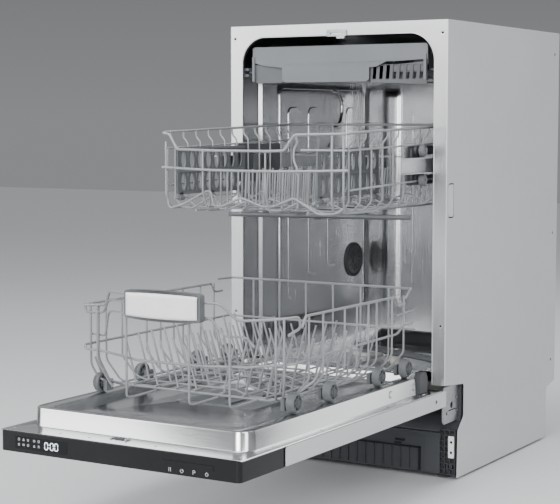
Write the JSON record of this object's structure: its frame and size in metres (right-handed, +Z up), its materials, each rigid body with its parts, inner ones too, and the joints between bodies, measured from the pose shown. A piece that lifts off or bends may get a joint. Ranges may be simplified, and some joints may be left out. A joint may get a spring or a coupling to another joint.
{
  "type": "built in dishwasher",
  "caption": "Slimline built-in dishwasher with the door lying open, a lower basket drawn out over it, an upper basket partly out and a cutlery tray on top.",
  "frame": {"origin": "On the floor, in the middle of the machine's width and midway between the far edge of the open door and the hose spigots at the back.", "axes": "+Z up, +X to the right when standing in front of the machine, the door opens towards -Y."},
  "size_m": [0.448, 1.212, 0.823],
  "materials": {
    "zinc_coated_sheet": "pre-coated galvanised steel, satin grey",
    "frame_steel": "fine brushed stainless steel",
    "tub_steel": "deep drawn stainless steel, soft sheen",
    "door_steel": "pressed stainless steel",
    "door_sheet": "pre-coated steel sheet",
    "hinge_steel": "zinc plated steel",
    "fascia_plastic": "black moulded plastic",
    "display": "dark acrylic window",
    "seal_rubber": "moulded rubber",
    "base_plastic": "dark moulded polypropylene",
    "grey_plastic": "grey moulded polypropylene",
    "handle_white": "white moulded plastic",
    "coated_wire": "polyamide coated steel wire",
    "rail_steel": "rolled stainless steel",
    "pump_plastic": "natural moulded plastic",
    "board": "circuit board laminate",
    "ballast_iron": "cast iron block"
  },
  "bodies": {
    "cabinet": {"air_break_chamber": "pump_plastic", "back_and_top_cover": "zinc_coated_sheet", "ballast": "ballast_iron", "base_tray": "base_plastic", "circulation_pump": "pump_plastic", "door_seal": "seal_rubber", "drain_pump": "pump_plastic", "filter_mesh_plate": "tub_steel", "front_frame": "frame_steel", "hinge_brackets": "hinge_steel", "hinge_springs": "hinge_steel", "levelling_feet": "seal_rubber", "plinth_front": "base_plastic", "rear_connections": "base_plastic", "side_panels": "zinc_coated_sheet", "striker_plate": "frame_steel", "sump": "pump_plastic", "tub_back_wall": "tub_steel", "tub_floor": "tub_steel", "tub_rails": "grey_plastic", "tub_wrap": "tub_steel", "water_softener": "pump_plastic"},
    "door": {"door_outer_panel": "door_sheet", "door_inner_pan": "door_steel", "control_fascia": "fascia_plastic", "display_window": "display", "control_board": "board", "door_latch": "pump_plastic", "detergent_dispenser": "grey_plastic", "door_bottom_seal": "seal_rubber", "hinge_arms": "hinge_steel"},
    "lower_basket_body": {"lower_basket": "coated_wire", "handle_frame": "grey_plastic", "handle_plate": "handle_white", "wheel_holders": "grey_plastic"},
    "upper_basket_body": {"upper_basket": "coated_wire", "height_adjusters": "grey_plastic", "upper_feed_tube": "grey_plastic"},
    "cup_shelf_left": {"cup_shelf_left": "grey_plastic"},
    "cup_shelf_right": {"cup_shelf_right": "grey_plastic"},
    "upper_spray_arm": {"upper_spray_arm": "grey_plastic"},
    "lower_spray_arm": {"lower_spray_arm": "grey_plastic"},
    "telescopic_rails": {"telescopic_rails": "rail_steel"},
    "cutlery_tray": {"cutlery_tray": "grey_plastic"},
    "dispenser_lid": {"dispenser_lid": "grey_plastic"},
    "rinse_aid_cap": {"rinse_aid_cap": "grey_plastic"},
    "filter_cylinder": {"filter_cylinder": "grey_plastic"},
    "salt_cap": {"salt_cap": "handle_white"},
    "lower_wheel_left_1": {"lower_wheel_left_1": "grey_plastic"},
    "lower_wheel_left_2": {"lower_wheel_left_2": "grey_plastic"},
    "lower_wheel_left_3": {"lower_wheel_left_3": "grey_plastic"},
    "lower_wheel_left_4": {"lower_wheel_left_4": "grey_plastic"},
    "lower_wheel_right_1": {"lower_wheel_right_1": "grey_plastic"},
    "lower_wheel_right_2": {"lower_wheel_right_2": "grey_plastic"},
    "lower_wheel_right_3": {"lower_wheel_right_3": "grey_plastic"},
    "lower_wheel_right_4": {"lower_wheel_right_4": "grey_plastic"},
    "rack_roller_left_top": {"rack_roller_left_top": "grey_plastic"},
    "rack_roller_left_low": {"rack_roller_left_low": "grey_plastic"},
    "rack_roller_right_top": {"rack_roller_right_top": "grey_plastic"},
    "rack_roller_right_low": {"rack_roller_right_low": "grey_plastic"}
  },
  "joints": [
    {"name": "door_hinge", "type": "hinge", "parent": "cabinet", "child": "door", "pos_m": [0, 0.05, 0.16], "axis": [-1, 0, 0], "range_deg": [0, 16]},
    {"name": "lower_basket_slide", "type": "slide", "parent": "door", "child": "lower_basket_body", "axis": [0, -1, 0], "range_m": [-0.553, 0]},
    {"name": "upper_basket_slide", "type": "slide", "parent": "cabinet", "child": "upper_basket_body", "axis": [0, 1, 0], "range_m": [-0.09, 0.312]},
    {"name": "telescopic_rail_slide", "type": "slide", "parent": "cabinet", "child": "telescopic_rails", "axis": [0, 1, 0], "range_m": [-0.05, 0.16]},
    {"name": "cutlery_tray_slide", "type": "slide", "parent": "cabinet", "child": "cutlery_tray", "axis": [0, -1, 0], "range_m": [0, 0.38]},
    {"name": "cup_shelf_left_fold", "type": "hinge", "parent": "upper_basket_body", "child": "cup_shelf_left", "pos_m": [-0.1685, -0.089, 0.514], "axis": [0, 1, 0], "range_deg": [0, 84]},
    {"name": "cup_shelf_right_fold", "type": "hinge", "parent": "upper_basket_body", "child": "cup_shelf_right", "pos_m": [0.11, -0.089, 0.514], "axis": [0, 1, 0], "range_deg": [0, 39]},
    {"name": "upper_spray_arm_spin", "type": "hinge", "parent": "upper_basket_body", "child": "upper_spray_arm", "pos_m": [0, -0.001, 0.478], "axis": [0, 0, 1], "continuous": true},
    {"name": "lower_spray_arm_spin", "type": "hinge", "parent": "cabinet", "child": "lower_spray_arm", "pos_m": [0, 0.316, 0.19], "axis": [0, 0, 1], "continuous": true},
    {"name": "dispenser_lid_slide", "type": "slide", "parent": "door", "child": "dispenser_lid", "axis": [1, 0, 0], "range_m": [0, 0.051]},
    {"name": "rinse_aid_cap_turn", "type": "hinge", "parent": "door", "child": "rinse_aid_cap", "pos_m": [0.04, -0.217, 0.185], "axis": [0, 0, 1], "range_deg": [0, 90]},
    {"name": "filter_turn", "type": "hinge", "parent": "cabinet", "child": "filter_cylinder", "pos_m": [0.07, 0.391, 0.16], "axis": [0, 0, 1], "range_deg": [0, 90]},
    {"name": "salt_cap_turn", "type": "hinge", "parent": "cabinet", "child": "salt_cap", "pos_m": [-0.105, 0.391, 0.172], "axis": [0, 0, 1], "range_deg": [0, 90]},
    {"name": "lower_wheel_left_1_spin", "type": "hinge", "parent": "lower_basket_body", "child": "lower_wheel_left_1", "pos_m": [-0.185, -0.397, 0.2193], "axis": [1, 0, 0], "continuous": true},
    {"name": "lower_wheel_left_2_spin", "type": "hinge", "parent": "lower_basket_body", "child": "lower_wheel_left_2", "pos_m": [-0.185, -0.284, 0.2193], "axis": [1, 0, 0], "continuous": true},
    {"name": "lower_wheel_left_3_spin", "type": "hinge", "parent": "lower_basket_body", "child": "lower_wheel_left_3", "pos_m": [-0.185, -0.117, 0.2193], "axis": [1, 0, 0], "continuous": true},
    {"name": "lower_wheel_left_4_spin", "type": "hinge", "parent": "lower_basket_body", "child": "lower_wheel_left_4", "pos_m": [-0.185, -0.017, 0.2193], "axis": [1, 0, 0], "continuous": true},
    {"name": "rack_roller_left_top_spin", "type": "hinge", "parent": "upper_basket_body", "child": "rack_roller_left_top", "pos_m": [-0.1913, 0.033, 0.5953], "axis": [1, 0, 0], "continuous": true},
    {"name": "rack_roller_left_low_spin", "type": "hinge", "parent": "upper_basket_body", "child": "rack_roller_left_low", "pos_m": [-0.1913, 0.033, 0.5447], "axis": [1, 0, 0], "continuous": true},
    {"name": "lower_wheel_right_1_spin", "type": "hinge", "parent": "lower_basket_body", "child": "lower_wheel_right_1", "pos_m": [0.185, -0.397, 0.2193], "axis": [1, 0, 0], "continuous": true},
    {"name": "lower_wheel_right_2_spin", "type": "hinge", "parent": "lower_basket_body", "child": "lower_wheel_right_2", "pos_m": [0.185, -0.284, 0.2193], "axis": [1, 0, 0], "continuous": true},
    {"name": "lower_wheel_right_3_spin", "type": "hinge", "parent": "lower_basket_body", "child": "lower_wheel_right_3", "pos_m": [0.185, -0.117, 0.2193], "axis": [1, 0, 0], "continuous": true},
    {"name": "lower_wheel_right_4_spin", "type": "hinge", "parent": "lower_basket_body", "child": "lower_wheel_right_4", "pos_m": [0.185, -0.017, 0.2193], "axis": [1, 0, 0], "continuous": true},
    {"name": "rack_roller_right_top_spin", "type": "hinge", "parent": "upper_basket_body", "child": "rack_roller_right_top", "pos_m": [0.1913, 0.033, 0.5953], "axis": [1, 0, 0], "continuous": true},
    {"name": "rack_roller_right_low_spin", "type": "hinge", "parent": "upper_basket_body", "child": "rack_roller_right_low", "pos_m": [0.1913, 0.033, 0.5447], "axis": [1, 0, 0], "continuous": true}
  ],
  "couplings": [
    {"joint": "telescopic_rail_slide", "follows": "upper_basket_slide", "ratio": 0.5}
  ]
}
